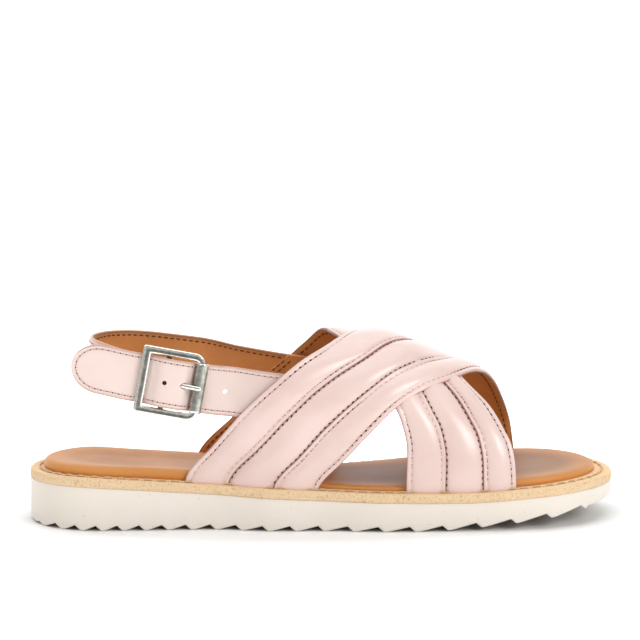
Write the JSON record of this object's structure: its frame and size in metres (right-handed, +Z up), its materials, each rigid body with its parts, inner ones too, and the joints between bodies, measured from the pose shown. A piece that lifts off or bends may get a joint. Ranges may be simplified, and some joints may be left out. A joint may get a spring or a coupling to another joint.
{
  "type": "cross strap sandal",
  "caption": "Flat sandal with wide padded straps crossing over the foot, a buckled sling round the heel and a light saw-tooth wedge sole.",
  "frame": {"origin": "middle of the box round the whole sandal, on the ground that it stands on", "axes": "+X towards the toe, +Y towards the inner side of the foot, +Z up"},
  "size_m": [0.2648, 0.0941, 0.0858],
  "materials": {
    "cream_rubber": "matte cream moulded rubber",
    "welt_leather": "natural leather with a raw cut edge and cream stitches",
    "footbed_leather": "smooth tan leather, slightly glossy",
    "strap_leather": "pale pink semi-gloss leather, tan lining",
    "sling_leather": "pale pink leather, tan lining",
    "buckle_metal": "antiqued nickel"
  },
  "bodies": {
    "root": {"outsole": "cream_rubber", "midsole": "welt_leather", "insole": "footbed_leather", "upper": "strap_leather", "heel_strap": "sling_leather", "buckle_tab": "sling_leather", "buckle_frame": "buckle_metal", "buckle_roller": "buckle_metal", "buckle_prong": "buckle_metal"}
  },
  "joints": []
}
